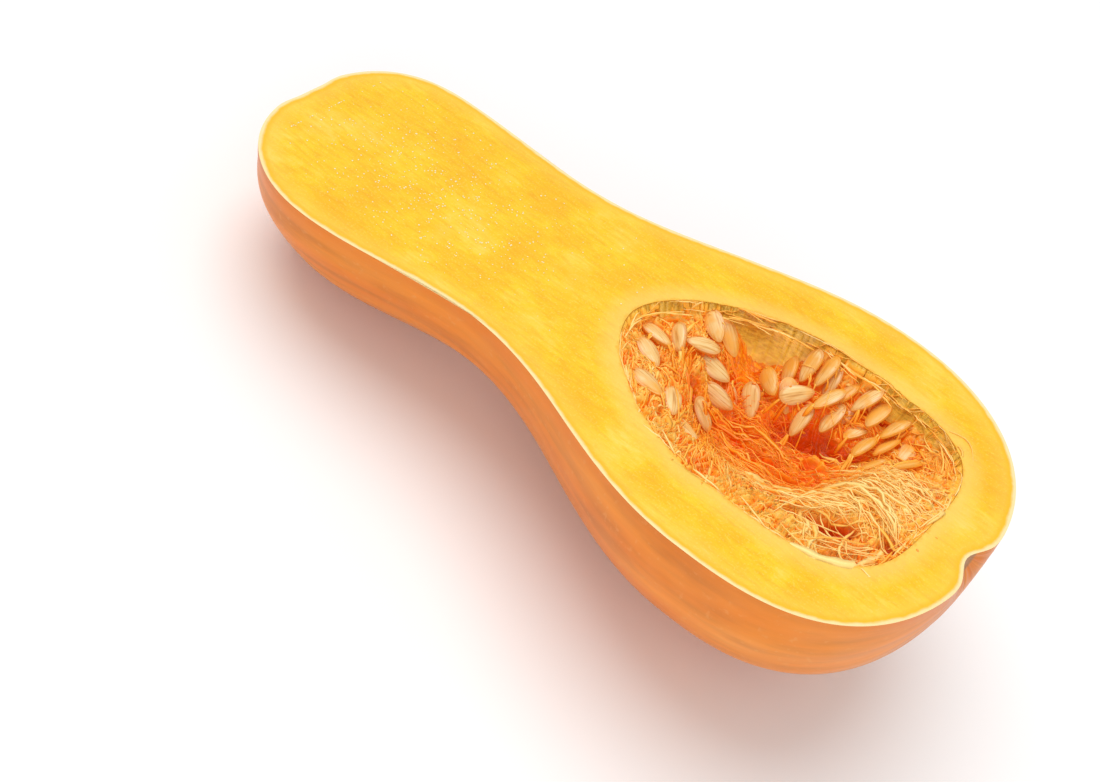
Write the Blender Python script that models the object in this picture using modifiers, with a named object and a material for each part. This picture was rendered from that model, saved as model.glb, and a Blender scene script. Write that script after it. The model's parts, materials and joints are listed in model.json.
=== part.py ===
"""A butternut squash cut in half lengthwise, lying on its rind with the cut face up.

The rind and the flesh under it grow as one solid. A body of stringy pulp lines the seed
cavity, with a hollow in its middle, and the seeds sit in it, each in a socket of its own.

Every piece is shaped in the squash's own frame: X runs along the squash from the stem end
to the blossom end, and the cut face is the plane Z = 0. An empty then lays the half down,
with the neck and the bulb both touching the table and the origin at the bottom centre.
"""

import math
import random

import bmesh
import bpy
import numpy as np
from mathutils import Matrix, Vector

# The squash, in metres. Rings are counted from the stem end to the blossom end.
LENGTH = 0.280
STEM_CAP_LENGTH = 0.046  # stem end to the widest ring of the neck
NECK_RADIUS = 0.0476
NECK_LENGTH = 0.054  # widest ring of the neck to the waist
WAIST_RADIUS = 0.0431
BULB_RADIUS = 0.0721
BLOSSOM_CAP_LENGTH = 0.070  # widest ring of the bulb to the blossom end
CAP_FULLNESS = 2.4  # exponent of a rounded end: 2 is an ellipse, more is blunter
# How far the centre line strays to +Y at the stem end, neck, mid-swelling, bulb and blossom end
SWAY = (0.001, -0.002, 0.0065, 0.0068, 0.004)

BLOSSOM_DIMPLE_DEPTH = 0.0050
BLOSSOM_DIMPLE_RADIUS = 0.0085
STEM_SCAR_DEPTH = 0.0015
STEM_SCAR_RADIUS = 0.0110

# The seed cavity, turned about a straight line at the bulb's centre
CAVITY_LENGTH = 0.118
CAVITY_RADIUS = 0.0452
BLOSSOM_WALL = 0.0195  # flesh between the cavity and the blossom end
CAVITY_NECK_SHARE = 0.52  # share of its length from the neck-side tip to its widest ring
CAVITY_NECK_FULLNESS = 1.8
CAVITY_BLOSSOM_FULLNESS = 3.5

# The pulp. Places are shares of the cavity's length and radius; depths are in metres.
FIT_GAP = 0.0003  # between pieces that touch
WALL_GAP = 0.0010  # between a seed and the wall of the cavity
PULP_RIM_DEPTH = 0.0025  # the pulp's top under the cut face, away from the hollows
# Each hollow: place along, place across, half length, half width, depth
PULP_HOLLOWS = (
    (0.50, 0.10, 0.20, 0.27, 0.0240),  # the deep middle
    (0.48, -0.35, 0.19, 0.20, 0.0080),  # the near slope into it
    (0.55, 0.72, 0.27, 0.20, 0.0070),  # the shelf that carries the band of seeds
    (0.31, 0.72, 0.07, 0.22, 0.0080),  # the bare wall beside the shelf
    (0.15, 0.15, 0.17, 0.50, 0.0038),  # the seeded mass at the neck side
    (0.78, 0.60, 0.13, 0.35, 0.0035),  # the seeded mass at the blossom side
)

SEED_LENGTH = 0.0134
SEED_WIDTH = 0.0074
SEED_THICKNESS = 0.0028
SEED_TAPER = 0.30  # how much narrower the pointed half is
SEED_PROUD = 0.0002  # the seed's centre over the pulp's surface
# Each seed: place along, place across, heading of its point, lean about its length and
# nose-up pitch, in degrees
NECK_SEEDS = (
    (0.100, 0.30, 190, 5, 0),
    (0.090, 0.09, 350, -10, 5),
    (0.110, -0.11, 335, 0, 0),
    (0.125, 0.16, 312, 60, 0),
    (0.150, 0.42, 325, 35, -5),
    (0.210, 0.55, 340, 10, -15),
    (0.195, 0.40, 224, 5, 0),
    (0.245, 0.28, 20, 15, 0),
    (0.290, 0.20, 14, 50, 5),
    (0.330, 0.32, 320, 10, -20),
    (0.305, 0.05, 350, 5, -20),
    (0.252, -0.33, 308, 10, 5),
    (0.180, -0.42, 348, 5, 5),
    (0.320, -0.38, 4, 10, 0),
)
BAND_SEEDS = (
    (0.375, 0.42, 302, 20, -30),
    (0.389, 0.52, 316, 40, -10),
    (0.420, 0.58, 300, 0, -30),
    (0.392, 0.80, 288, 30, -20),
    (0.449, 0.84, 280, 35, -20),
    (0.491, 0.85, 270, 32, -20),
    (0.525, 0.90, 280, 35, -20),
    (0.475, 0.58, 56, 30, 0),
    (0.506, 0.47, 272, 30, -20),
    (0.540, 0.69, 252, 30, -10),
    (0.572, 0.85, 260, 35, -15),
    (0.616, 0.88, 258, 35, -15),
    (0.572, 0.62, 276, 30, -15),
    (0.610, 0.72, 274, 30, -10),
)
BLOSSOM_SEEDS = (
    (0.652, 0.68, 260, 25, -5),
    (0.703, 0.73, 250, 40, 0),
    (0.690, 0.90, 270, 25, 0),
    (0.706, 0.55, 266, 35, 0),
    (0.749, 0.50, 260, 30, 0),
    (0.750, 0.68, 264, 40, 0),
    (0.750, 0.84, 258, 35, 0),
    (0.795, 0.76, 276, 5, 5),
    (0.825, 0.55, 250, 35, 0),
)
SCATTER_DEGREES = 4
SETTLE_PASSES = 60

TURN_STEPS = 40
RING_STEPS = 10  # rings on each stretch of a turned outline
CUT_MARGIN = 0.02  # how far a cutting block reaches past what it cuts
TIP_IN_PLANE = 0.000001  # a tip this near the cut plane is put exactly in it
HOLLOW_OVERRUN = 0.06  # how far the pulp's top is drawn past the cavity, as a share of it

random.seed(7)


def eased(start, end, share):
    """A value that leaves start and reaches end with no corner, as share runs from 0 to 1."""
    return start + (end - start) * (1 - math.cos(math.pi * share)) / 2


def cap_ring(share, fullness):
    """Radius share of a rounded end, where share is 0 at its widest ring and 1 at its tip."""
    return max(0.0, 1 - share**fullness) ** (1 / fullness)


def squash_outline():
    """(place along, radius) of each ring of the rind, from the stem end to the blossom end."""
    stations = ring_stations()
    rings = []
    for step in range(RING_STEPS + 1):
        share = math.cos(math.pi / 2 * step / RING_STEPS)
        radius = NECK_RADIUS * cap_ring(share, CAP_FULLNESS)
        scar = STEM_SCAR_DEPTH * math.exp(-((radius / STEM_SCAR_RADIUS) ** 4))
        rings.append((stations[1] * (1 - share) + scar, radius))
    for step in range(1, RING_STEPS // 2 + 1):
        share = step / (RING_STEPS // 2)
        place = stations[1] + NECK_LENGTH * share
        rings.append((place, eased(NECK_RADIUS, WAIST_RADIUS, share)))
    waist = stations[1] + NECK_LENGTH
    for step in range(1, RING_STEPS + 1):
        share = step / RING_STEPS
        place = waist + (stations[3] - waist) * share
        rings.append((place, eased(WAIST_RADIUS, BULB_RADIUS, share)))
    for step in range(1, RING_STEPS + 5):
        share = math.sin(math.pi / 2 * step / (RING_STEPS + 4))
        radius = BULB_RADIUS * cap_ring(share, CAP_FULLNESS)
        dimple = BLOSSOM_DIMPLE_DEPTH * math.exp(-((radius / BLOSSOM_DIMPLE_RADIUS) ** 2))
        rings.append((stations[3] + BLOSSOM_CAP_LENGTH * share - dimple, radius))
    return rings


def cavity_outline(gap):
    """(place along, radius) of each ring of the seed cavity, drawn in by gap."""
    rings = []
    neck_side = CAVITY_LENGTH * CAVITY_NECK_SHARE - gap
    blossom_side = CAVITY_LENGTH * (1 - CAVITY_NECK_SHARE) - gap
    widest = cavity_start() + CAVITY_LENGTH * CAVITY_NECK_SHARE
    for step in range(RING_STEPS + 1):
        share = math.cos(math.pi / 2 * step / RING_STEPS)
        radius = (CAVITY_RADIUS - gap) * cap_ring(share, CAVITY_NECK_FULLNESS)
        rings.append((widest - neck_side * share, radius))
    for step in range(1, RING_STEPS + 1):
        share = math.sin(math.pi / 2 * step / RING_STEPS)
        radius = (CAVITY_RADIUS - gap) * cap_ring(share, CAVITY_BLOSSOM_FULLNESS)
        rings.append((widest + blossom_side * share, radius))
    return rings


def ring_stations():
    """Places along of the stem end, neck, mid-swelling, bulb and blossom end."""
    waist = STEM_CAP_LENGTH + NECK_LENGTH
    bulb = LENGTH - BLOSSOM_CAP_LENGTH
    return (0.0, STEM_CAP_LENGTH, (waist + bulb) / 2, bulb, LENGTH)


def cavity_start():
    return LENGTH - BLOSSOM_WALL - CAVITY_LENGTH


def sway_at(place):
    """How far the centre line has strayed to +Y at a place along the squash."""
    stations = ring_stations()
    for index in range(len(stations) - 1):
        if place <= stations[index + 1]:
            run = stations[index + 1] - stations[index]
            share = max(0.0, (place - stations[index]) / run)
            return eased(SWAY[index], SWAY[index + 1], share)
    return SWAY[-1]


def bulb_sway(_place):
    """The seed cavity keeps to the bulb's centre all along."""
    return SWAY[3]


def pulp_height(along, across):
    """Height of the pulp's top over the cut face, which is negative, at shares of the cavity."""
    depth = PULP_RIM_DEPTH
    for place, side, half_length, half_width, dip in PULP_HOLLOWS:
        distance = ((along - place) / half_length) ** 4 + ((across - side) / half_width) ** 2
        depth += dip * math.exp(-distance / 2)
    return -depth


def cavity_point(along, across):
    """The point of the pulp's top at shares of the cavity's length and radius."""
    place = cavity_start() + along * CAVITY_LENGTH
    side = SWAY[3] + across * CAVITY_RADIUS
    return Vector((place, side, pulp_height(along, across)))


def collection(name):
    made = bpy.data.collections.new(name)
    bpy.context.scene.collection.children.link(made)
    return made


def add_object(name, mesh, group):
    made = bpy.data.objects.new(name, mesh)
    group.objects.link(made)
    return made


def material(name, colour, roughness):
    made = bpy.data.materials.new(name)
    made.use_nodes = True
    shader = made.node_tree.nodes["Principled BSDF"]
    shader.inputs["Base Color"].default_value = (*colour, 1)
    shader.inputs["Roughness"].default_value = roughness
    shader.inputs["Metallic"].default_value = 0.0
    return made


def turned_body(name, rings, group, sway):
    """A closed body turned from rings, each moved to Y = sway(place along)."""
    mesh = bpy.data.meshes.new(name)
    half_step = math.pi / TURN_STEPS
    points = [(radius / math.cos(half_step), 0.0, -place) for place, radius in rings]
    edges = [(index, index + 1) for index in range(len(points) - 1)]
    mesh.from_pydata(points, edges, [])
    turned = add_object(name, mesh, group)
    screw = turned.modifiers.new("turn", "SCREW")
    screw.axis = "Z"
    screw.steps = TURN_STEPS
    screw.render_steps = TURN_STEPS
    screw.use_merge_vertices = True
    screw.merge_threshold = 0.00001
    bpy.context.view_layer.update()
    graph = bpy.context.evaluated_depsgraph_get()
    solid = bpy.data.meshes.new_from_object(turned.evaluated_get(graph))
    turned.modifiers.clear()
    # The turning axis Z becomes X, with no corner in the cut plane, and each ring is moved sideways.
    solid.transform(Matrix.Rotation(math.radians(-90), 4, "Y"))
    solid.transform(Matrix.Rotation(half_step, 4, "X"))
    for vertex in solid.vertices:
        vertex.co.y += sway(vertex.co.x)
        if abs(vertex.co.z) < TIP_IN_PLANE:
            vertex.co.z = 0.0
    solid.shade_smooth()
    solid.set_sharp_from_angle(angle=math.radians(40))
    turned.data = solid
    return turned


def cut(target, cutter, name):
    boolean = target.modifiers.new(name, "BOOLEAN")
    boolean.operation = "DIFFERENCE"
    boolean.object = cutter


def hide_helper(helper):
    helper.hide_render = True
    helper.display_type = "WIRE"


def upper_block(group):
    """The half that the knife takes away: all that lies over the cut face."""
    bpy.ops.mesh.primitive_cube_add(size=1)
    block = bpy.context.object
    block.name = "upper_block"
    across = 2 * (BULB_RADIUS + CUT_MARGIN)
    size = (LENGTH + 2 * CUT_MARGIN, across, BULB_RADIUS + CUT_MARGIN)
    centre = Matrix.Translation((LENGTH / 2, SWAY[3], size[2] / 2))
    block.data.transform(centre @ Matrix.Diagonal((*size, 1)))
    return helper_in(block, group)


def helper_in(helper, group):
    for holder in list(helper.users_collection):
        holder.objects.unlink(helper)
    group.objects.link(helper)
    hide_helper(helper)
    return helper


def hollow_block(group):
    """All that lies over the pulp's top: a grid that follows it, extruded upwards."""
    bpy.ops.mesh.primitive_grid_add(x_subdivisions=20, y_subdivisions=15, size=2)
    block = bpy.context.object
    block.name = "hollow_block"
    for vertex in block.data.vertices:
        along = 0.5 + vertex.co.x * (0.5 + HOLLOW_OVERRUN)
        across = vertex.co.y * (1 + 2 * HOLLOW_OVERRUN)
        vertex.co = cavity_point(along, across)
    shape = bmesh.new()
    shape.from_mesh(block.data)
    raised = bmesh.ops.extrude_face_region(shape, geom=shape.faces[:], use_keep_orig=True)
    for item in raised["geom"]:
        if isinstance(item, bmesh.types.BMVert):
            item.co.z = CAVITY_RADIUS + CUT_MARGIN
    bmesh.ops.recalc_face_normals(shape, faces=shape.faces[:])
    shape.to_mesh(block.data)
    shape.free()
    return helper_in(block, group)


def apply_cuts(target):
    """Applies the cuts and keeps the largest body, where sockets have cut small bits free."""
    bpy.context.view_layer.update()
    graph = bpy.context.evaluated_depsgraph_get()
    solid = bpy.data.meshes.new_from_object(target.evaluated_get(graph))
    target.modifiers.clear()
    shape = bmesh.new()
    shape.from_mesh(solid)
    bodies = []
    unseen = set(shape.verts)
    while unseen:
        body = set()
        edge_of_body = [unseen.pop()]
        while edge_of_body:
            vertex = edge_of_body.pop()
            body.add(vertex)
            for edge in vertex.link_edges:
                other = edge.other_vert(vertex)
                if other in unseen:
                    unseen.remove(other)
                    edge_of_body.append(other)
        bodies.append(body)
    largest = max(bodies, key=len)
    crumbs = [vertex for vertex in shape.verts if vertex not in largest]
    bmesh.ops.delete(shape, geom=crumbs, context="VERTS")
    shape.to_mesh(solid)
    shape.free()
    target.data = solid


def seed_mesh(name, grown):
    """A flat seed with its point at +X, larger all round by grown."""
    bpy.ops.mesh.primitive_uv_sphere_add(
        segments=10, ring_count=6, radius=1, rotation=(0, math.radians(90), 0)
    )
    ball = bpy.context.object
    bpy.ops.object.transform_apply(rotation=True)
    mesh = ball.data
    mesh.name = name
    half = Vector((SEED_LENGTH, SEED_WIDTH, SEED_THICKNESS)) / 2 + Vector((grown,) * 3)
    for vertex in mesh.vertices:
        taper = 1 - SEED_TAPER * vertex.co.x
        vertex.co = (
            vertex.co.x * half.x,
            vertex.co.y * half.y * taper,
            vertex.co.z * half.z,
        )
    mesh.shade_smooth()
    mesh.use_fake_user = True
    bpy.data.objects.remove(ball)
    return mesh


def seed_place(along, across, heading, lean, pitch):
    """The matrix that seats a seed on the pulp, half way between level and its slope."""
    step = 0.01
    point = cavity_point(along, across)
    lengthways = cavity_point(along + step, across) - point
    sideways = cavity_point(along, across + step) - point
    level = Vector((0, 0, 1))
    normal = (lengthways.cross(sideways).normalized() + level).normalized()
    stand = level.rotation_difference(normal).to_matrix().to_4x4()
    turns = [math.radians(angle + random.uniform(-1, 1) * SCATTER_DEGREES)
             for angle in (heading, lean, pitch)]
    turn = (
        Matrix.Rotation(turns[0], 4, "Z")
        @ Matrix.Rotation(-turns[2], 4, "Y")
        @ Matrix.Rotation(turns[1], 4, "X")
    )
    lift = SEED_PROUD + abs(math.sin(turns[1])) * SEED_WIDTH / 4
    return Matrix.Translation(point + normal * lift) @ stand @ turn


def wall_radius(place):
    """Radius of the seed cavity at a place along the squash."""
    widest = cavity_start() + CAVITY_LENGTH * CAVITY_NECK_SHARE
    if place < widest:
        share = (widest - place) / (CAVITY_LENGTH * CAVITY_NECK_SHARE)
        return CAVITY_RADIUS * cap_ring(min(share, 1.0), CAVITY_NECK_FULLNESS)
    share = (place - widest) / (CAVITY_LENGTH * (1 - CAVITY_NECK_SHARE))
    return CAVITY_RADIUS * cap_ring(min(share, 1.0), CAVITY_BLOSSOM_FULLNESS)


def seed_beads():
    """Centres of beads as thick as a seed that fill its outline, in the seed's own frame."""
    radius = SEED_THICKNESS / 2
    beads = []
    for lengthways in (-1.0, -0.5, 0.0, 0.5, 1.0):
        reach = SEED_WIDTH / 2 * (1 - SEED_TAPER * lengthways) - radius
        for sideways in (-1, 0, 1) if abs(lengthways) < 1 else (0,):
            across = reach * sideways * math.sqrt(1 - lengthways**2)
            beads.append((lengthways * (SEED_LENGTH / 2 - radius), across, 0.0, 1.0))
    return np.array(beads)


def settle(places):
    """Moves the seeds apart, under the cut face and in from the wall, until all are clear."""
    beads = [(np.array(place) @ seed_beads().T).T[:, :3] for place in places]
    clear = SEED_THICKNESS + 2 * FIT_GAP
    for _ in range(SETTLE_PASSES):
        for first in range(len(beads)):
            for second in range(first + 1, len(beads)):
                between = beads[first][:, None] - beads[second][None]
                gaps = np.linalg.norm(between, axis=2)
                nearest = np.unravel_index(gaps.argmin(), gaps.shape)
                short = clear - gaps[nearest]
                if short > 0:
                    push = between[nearest] / max(gaps[nearest], FIT_GAP) * short / 2
                    beads[first] += push
                    beads[second] -= push
        for each in beads:
            each[:, 2] -= max(0.0, each[:, 2].max() + SEED_THICKNESS / 2 + WALL_GAP)
            side = each[:, 1] - SWAY[3]
            room = np.array([wall_radius(place) for place in each[:, 0]])
            room -= SEED_THICKNESS / 2 + WALL_GAP
            over = np.hypot(side, each[:, 2]) - room
            worst = over.argmax()
            if over[worst] > 0:
                reach = max(math.hypot(side[worst], each[worst, 2]), FIT_GAP)
                each[:, 1] -= side[worst] / reach * over[worst]
                each[:, 2] -= each[worst, 2] / reach * over[worst]
                slack = cavity_start() + CAVITY_LENGTH / 2 - each[worst, 0]
                each[:, 0] += math.copysign(over[worst] / 2, slack)
    start = seed_beads()[:, :3].mean(axis=0)
    for place, each in zip(places, beads):
        place.translation = Vector(each.mean(axis=0)) - place.to_3x3() @ Vector(start)


def rest_slope():
    """Rise of the cut face per metre of length, with both neck and bulb on the table."""
    rings = squash_outline()
    waist = STEM_CAP_LENGTH + NECK_LENGTH
    low, high = 0.0, 1.0
    for _ in range(50):
        slope = (low + high) / 2
        neck = min(slope * place - radius for place, radius in rings if place < waist)
        bulb = min(slope * place - radius for place, radius in rings if place >= waist)
        if bulb < neck:
            low = slope
        else:
            high = slope
    return slope


def lay_down(half, flesh):
    """Turns the empty so that the half rests, and puts its bottom centre at the origin."""
    half.rotation_euler = (0, -math.atan(rest_slope()), 0)
    bpy.context.view_layer.update()
    graph = bpy.context.evaluated_depsgraph_get()
    rested = flesh.evaluated_get(graph)
    points = [rested.matrix_world @ vertex.co for vertex in rested.data.vertices]
    low = Vector(min(point[axis] for point in points) for axis in range(3))
    high = Vector(max(point[axis] for point in points) for axis in range(3))
    half.location -= Vector(((low.x + high.x) / 2, (low.y + high.y) / 2, low.z))


for old in list(bpy.data.objects):
    bpy.data.objects.remove(old)

squash = collection("butternut_squash_half")
cutters = collection("cutters")
half = add_object("laid_down", None, squash)

flesh = turned_body("flesh", squash_outline(), squash, sway_at)
flesh.data.materials.append(material("rind_and_flesh", (0.90, 0.47, 0.10), 0.45))
block = upper_block(cutters)
cut(flesh, block, "cut_in_half")
cavity = turned_body("cavity", cavity_outline(0), cutters, bulb_sway)
hide_helper(cavity)
cut(flesh, cavity, "seed_cavity")
apply_cuts(flesh)

pulp = turned_body("pulp", cavity_outline(FIT_GAP), squash, bulb_sway)
pulp.data.materials.append(material("pulp", (0.95, 0.30, 0.02), 0.40))
cut(pulp, hollow_block(cutters), "hollow")

seed_finish = material("seed", (0.93, 0.72, 0.42), 0.35)
seed_shape = seed_mesh("seed", 0)
seed_shape.materials.append(seed_finish)
socket_shape = seed_mesh("socket", FIT_GAP)
sockets = bpy.data.collections.new("sockets")
cutters.children.link(sockets)
places = [seed_place(*layout) for layout in NECK_SEEDS + BAND_SEEDS + BLOSSOM_SEEDS]
settle(places)
for number, place in enumerate(places, 1):
    seed = add_object(f"seed_{number:02d}", seed_shape, squash)
    socket = add_object(f"socket_{number:02d}", socket_shape, sockets)
    hide_helper(socket)
    for piece in (seed, socket):
        piece.parent = half
        piece.matrix_local = place
socket_cut = pulp.modifiers.new("sockets", "BOOLEAN")
socket_cut.operation = "DIFFERENCE"
socket_cut.operand_type = "COLLECTION"
socket_cut.collection = sockets

apply_cuts(pulp)

for piece in (flesh, pulp, block, cavity, bpy.data.objects["hollow_block"]):
    piece.parent = half
lay_down(half, flesh)
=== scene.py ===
"""A halved butternut squash, laid on its rind: rind and flesh, stringy pulp, seeds and fibres.

Every piece is shaped in the squash's own frame, where X runs from the stem end to the
blossom end, Y across and Z = 0 is the cut face, and is then laid down as the frame lies.
"""

import json
import math
import random

import bmesh
import bpy
import numpy as np
from mathutils import Matrix, Vector, noise
from mathutils.bvhtree import BVHTree
from mathutils.kdtree import KDTree


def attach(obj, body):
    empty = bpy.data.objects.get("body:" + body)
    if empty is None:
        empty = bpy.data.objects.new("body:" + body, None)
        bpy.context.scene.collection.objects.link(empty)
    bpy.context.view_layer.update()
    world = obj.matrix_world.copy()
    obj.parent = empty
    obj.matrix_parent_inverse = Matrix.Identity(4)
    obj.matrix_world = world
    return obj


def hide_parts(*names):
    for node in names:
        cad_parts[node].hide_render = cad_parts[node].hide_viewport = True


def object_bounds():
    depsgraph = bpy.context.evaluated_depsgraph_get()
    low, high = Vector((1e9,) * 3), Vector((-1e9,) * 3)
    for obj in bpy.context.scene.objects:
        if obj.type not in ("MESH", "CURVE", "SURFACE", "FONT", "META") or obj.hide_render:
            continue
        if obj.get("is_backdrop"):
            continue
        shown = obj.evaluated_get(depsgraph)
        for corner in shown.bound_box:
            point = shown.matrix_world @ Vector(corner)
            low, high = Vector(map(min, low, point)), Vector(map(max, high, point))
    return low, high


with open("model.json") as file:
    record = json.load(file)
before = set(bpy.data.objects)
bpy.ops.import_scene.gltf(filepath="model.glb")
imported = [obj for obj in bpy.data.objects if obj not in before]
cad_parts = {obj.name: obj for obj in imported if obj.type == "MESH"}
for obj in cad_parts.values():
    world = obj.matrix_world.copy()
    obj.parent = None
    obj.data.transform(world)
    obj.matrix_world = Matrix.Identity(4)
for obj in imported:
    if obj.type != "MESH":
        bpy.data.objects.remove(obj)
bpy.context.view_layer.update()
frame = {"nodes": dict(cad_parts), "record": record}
random.seed(11)

# ---------------------------------------------------------------------------------------
# How the half lies. It rests on its rind with the neck and the bulb both on the table, so
# the cut face tips down towards the stem end. The record's mount gives that face's plane.
MOUNT_FROM_STEM_END = 0.080
mount = next(each for each in frame["record"]["mounts"] if each["name"] == "cut_face")
face_up = Vector(mount["axis"])
face_along = Vector((face_up.z, 0, -face_up.x))
stem_end = Vector(mount["pos_m"]) - MOUNT_FROM_STEM_END * face_along
laid_down = Matrix(
    (
        (face_along.x, 0, face_up.x, stem_end.x),
        (0, 1, 0, stem_end.y),
        (face_along.z, 0, face_up.z, stem_end.z),
        (0, 0, 0, 1),
    )
)
lift_up = laid_down.inverted()

# ---------------------------------------------------------------------------------------
# Rind and flesh. One solid: the thin waxy rind, the firm yellow flesh that the knife has
# left flat, and the wall of the seed cavity. Its outline is turned, then gently lobed.
LENGTH = 0.280
STEM_CAP_LENGTH = 0.046
NECK_RADIUS = 0.0476
NECK_LENGTH = 0.054
WAIST_RADIUS = 0.0431
BULB_RADIUS = 0.0721
BLOSSOM_CAP_LENGTH = 0.070
CAP_FULLNESS = 2.4
SWAY = (0.001, -0.002, 0.0065, 0.0068, 0.004)
BLOSSOM_DIMPLE_DEPTH = 0.0050
BLOSSOM_DIMPLE_RADIUS = 0.0085
STEM_SCAR_DEPTH = 0.0015
STEM_SCAR_RADIUS = 0.0110
CAVITY_START = 0.1425
CAVITY_LENGTH = 0.118
CAVITY_RADIUS = 0.0452
CAVITY_NECK_SHARE = 0.52
CAVITY_NECK_FULLNESS = 1.8
CAVITY_BLOSSOM_FULLNESS = 3.5
RIND_STEPS = 200
RIND_SIDES = 96
FACE_ROWS = 72
WALL_SIDES = 40
LOBES = 10
LOBE_DEPTH = 0.0004
LOBED_END = 0.05
DENT_DEPTH = 0.0005
FURROW_DEPTH = 0.0022
FURROW_MIDDLE = 0.016
FURROW_ANGLE = math.radians(38)  # under the rim, on the near side
FURROW_WIDTH = math.radians(9)
FURROW_LENGTH = 0.062


def eased(start, end, share):
    """A value that leaves start and reaches end with no corner, as share runs from 0 to 1."""
    return start + (end - start) * (1 - math.cos(math.pi * share)) / 2


def cap_ring(share, fullness):
    """Radius share of a rounded end, where share is 0 at its widest ring and 1 at its tip."""
    return max(0.0, 1 - share**fullness) ** (1 / fullness)


WAIST = STEM_CAP_LENGTH + NECK_LENGTH
BULB = LENGTH - BLOSSOM_CAP_LENGTH
STATIONS = (0.0, STEM_CAP_LENGTH, (WAIST + BULB) / 2, BULB, LENGTH)


def sway_at(place):
    """How far the squash's centre line has strayed to +Y at a place along it."""
    for index in range(len(STATIONS) - 1):
        if place <= STATIONS[index + 1]:
            run = STATIONS[index + 1] - STATIONS[index]
            share = max(0.0, (place - STATIONS[index]) / run)
            return eased(SWAY[index], SWAY[index + 1], share)
    return SWAY[-1]


def even_steps(outline, steps):
    """The outline read at equal steps of its own length."""
    points = np.array(outline)
    run = np.concatenate([[0], np.cumsum(np.hypot(*np.diff(points, axis=0).T))])
    wanted = np.linspace(0, run[-1], steps + 1)
    return np.column_stack([np.interp(wanted, run, points[:, axis]) for axis in (0, 1)])


FINE = 300  # steps of each stretch of an outline
squash_outline = []
for step in range(FINE + 1):
    share = math.cos(math.pi / 2 * step / FINE)
    radius = NECK_RADIUS * cap_ring(share, CAP_FULLNESS)
    scar = STEM_SCAR_DEPTH * math.exp(-((radius / STEM_SCAR_RADIUS) ** 4))
    squash_outline.append((STEM_CAP_LENGTH * (1 - share) + scar, radius))
for start, length, *radii in (
    (STEM_CAP_LENGTH, NECK_LENGTH, NECK_RADIUS, WAIST_RADIUS),
    (WAIST, BULB - WAIST, WAIST_RADIUS, BULB_RADIUS),
):
    for step in range(1, FINE + 1):
        share = step / FINE
        squash_outline.append((start + length * share, eased(*radii, share)))
for step in range(1, FINE + 1):
    share = math.sin(math.pi / 2 * step / FINE)
    radius = BULB_RADIUS * cap_ring(share, CAP_FULLNESS)
    dimple = BLOSSOM_DIMPLE_DEPTH * math.exp(-((radius / BLOSSOM_DIMPLE_RADIUS) ** 2))
    squash_outline.append((BULB + BLOSSOM_CAP_LENGTH * share - dimple, radius))
squash_outline = even_steps(squash_outline, RIND_STEPS)
# The tips lose a few hundredths of a millimetre, to stay within the real size
TIP_TRIMS = (0.00007, 0.00003)
places = squash_outline[:, 0]
places[:] = np.clip(places, places.min() + TIP_TRIMS[0], places.max() - TIP_TRIMS[1])

cavity_widest = CAVITY_START + CAVITY_LENGTH * CAVITY_NECK_SHARE
cavity_outline = []
for step in range(FINE + 1):
    share = math.cos(math.pi / 2 * step / FINE)
    place = cavity_widest - CAVITY_LENGTH * CAVITY_NECK_SHARE * share
    cavity_outline.append((place, CAVITY_RADIUS * cap_ring(share, CAVITY_NECK_FULLNESS)))
for step in range(1, FINE + 1):
    share = math.sin(math.pi / 2 * step / FINE)
    place = cavity_widest + CAVITY_LENGTH * (1 - CAVITY_NECK_SHARE) * share
    cavity_outline.append((place, CAVITY_RADIUS * cap_ring(share, CAVITY_BLOSSOM_FULLNESS)))
cavity_outline = even_steps(cavity_outline, RIND_STEPS)


def read_outline(outline, share):
    """(place, radius) of an outline at a share of its length."""
    spot = share * (len(outline) - 1)
    below = min(int(spot), len(outline) - 2)
    return outline[below] + (outline[below + 1] - outline[below]) * (spot - below)


def mend(weld, outwards=True):
    """Joins points of the active mesh nearer than weld, and turns its faces outwards."""
    bpy.ops.object.mode_set(mode="EDIT")
    bpy.ops.mesh.select_all(action="SELECT")
    if weld:
        bpy.ops.mesh.remove_doubles(threshold=weld)
    if outwards:
        bpy.ops.mesh.normals_make_consistent(inside=False)
    bpy.ops.object.mode_set(mode="OBJECT")


def shaped_grid(name, columns, rows, place_of):
    """A grid whose corners (u, v), from 0 to 1, are moved to place_of(u, v)."""
    bpy.ops.object.select_all(action="DESELECT")
    bpy.ops.mesh.primitive_grid_add(x_subdivisions=columns, y_subdivisions=rows, size=1)
    grid = bpy.context.object
    grid.name = grid.data.name = name
    for vertex in grid.data.vertices:
        vertex.co = place_of(vertex.co.x + 0.5, vertex.co.y + 0.5)
    return grid


def rind_point(u, v):
    """A point of the skin, u along the squash and v round it; lobes and a furrow sink it."""
    place, radius = read_outline(squash_outline, u)
    angle = math.pi * (1 - v)  # from the far rim, under the squash, to the near rim
    near_end = math.exp(-((place / LOBED_END) ** 2))
    near_end += math.exp(-(((LENGTH - place) / LOBED_END) ** 2))
    shrink = LOBE_DEPTH * (1 - math.cos(LOBES * 2 * angle)) / 2 * (0.3 + near_end)
    below_rim = math.pi - angle
    furrow = math.exp(-(((below_rim - FURROW_ANGLE) / FURROW_WIDTH) ** 2))
    furrow *= math.exp(-(((place - FURROW_MIDDLE) / FURROW_LENGTH * 2) ** 2))
    shrink += FURROW_DEPTH * furrow
    spot = Vector((place * 22, math.cos(angle) * 1.6, math.sin(angle) * 1.6))
    shrink += DENT_DEPTH * (1 + noise.noise(spot)) / 2 * math.sin(angle)
    radius = radius * (1 - shrink / max(radius, 0.01))
    return Vector((place, sway_at(place) + radius * math.cos(angle), -radius * math.sin(angle)))


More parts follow.
